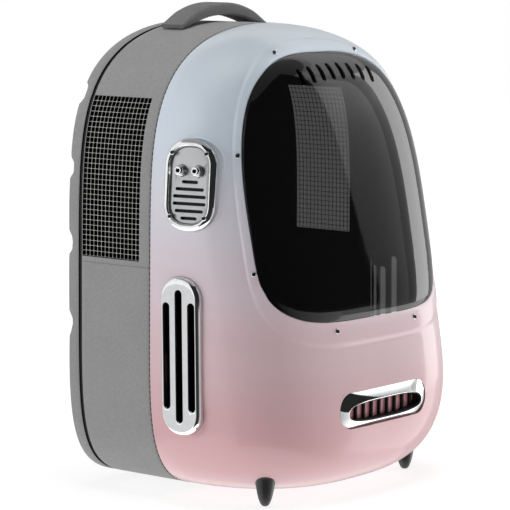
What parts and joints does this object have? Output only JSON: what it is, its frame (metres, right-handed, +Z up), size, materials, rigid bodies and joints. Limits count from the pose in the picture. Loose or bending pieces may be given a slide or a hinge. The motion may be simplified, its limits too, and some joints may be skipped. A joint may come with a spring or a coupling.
{
  "type": "pet carrier backpack",
  "caption": "Upright pet carrier backpack: glossy hard front shell, smoked bubble window, chrome vents, grey fabric gusset with net panels, zipped padded back, handle and straps.",
  "frame": {"origin": "on the floor below the middle of the bounding box", "axes": "+Z up, -Y towards the window side, +X to the right seen from the window side"},
  "size_m": [0.336, 0.284, 0.4504],
  "materials": {
    "shell_gloss": "high gloss, blue grey at the top to pink at the bottom",
    "smoked_pane": "smoked clear plastic, polished",
    "chrome": "polished",
    "satin_metal": "satin",
    "black_plastic": "satin black",
    "grey_fabric": "matt woven",
    "net": "open net",
    "zip_black": "black tape",
    "rubber": "matt"
  },
  "bodies": {
    "carrier": {"front_shell": "shell_gloss", "window": "smoked_pane", "window_screw_1": "chrome", "window_screw_2": "chrome", "window_screw_3": "chrome", "window_screw_4": "chrome", "window_screw_5": "chrome", "window_screw_6": "chrome", "window_screw_7": "chrome", "window_screw_8": "chrome", "side_vent_left": "chrome", "side_vent_right": "chrome", "panel_ring": "chrome", "panel_plate": "satin_metal", "panel_screw_1": "chrome", "panel_screw_2": "chrome", "panel_screw_3": "chrome", "panel_screw_4": "chrome", "grille_bezel": "chrome", "grille_fins": "black_plastic", "foot_left": "black_plastic", "foot_right": "black_plastic", "rear_rest": "rubber", "gusset": "grey_fabric", "net_left": "net", "net_right": "net", "zip": "zip_black", "back_panel": "grey_fabric", "handle": "grey_fabric", "strap_left": "grey_fabric", "strap_right": "grey_fabric", "adjuster_left": "black_plastic", "adjuster_right": "black_plastic", "webbing_left": "zip_black", "webbing_right": "zip_black"},
    "button_front": {"button_front": "chrome"},
    "button_rear": {"button_rear": "chrome"}
  },
  "joints": [
    {"name": "button_front_press", "type": "slide", "parent": "carrier", "child": "button_front", "axis": [0.9802, 0.1828, -0.0767], "range_m": [0, 0.002], "stiffness_N_per_m": 300},
    {"name": "button_rear_press", "type": "slide", "parent": "carrier", "child": "button_rear", "axis": [0.9802, 0.1828, -0.0767], "range_m": [0, 0.002], "stiffness_N_per_m": 300}
  ]
}
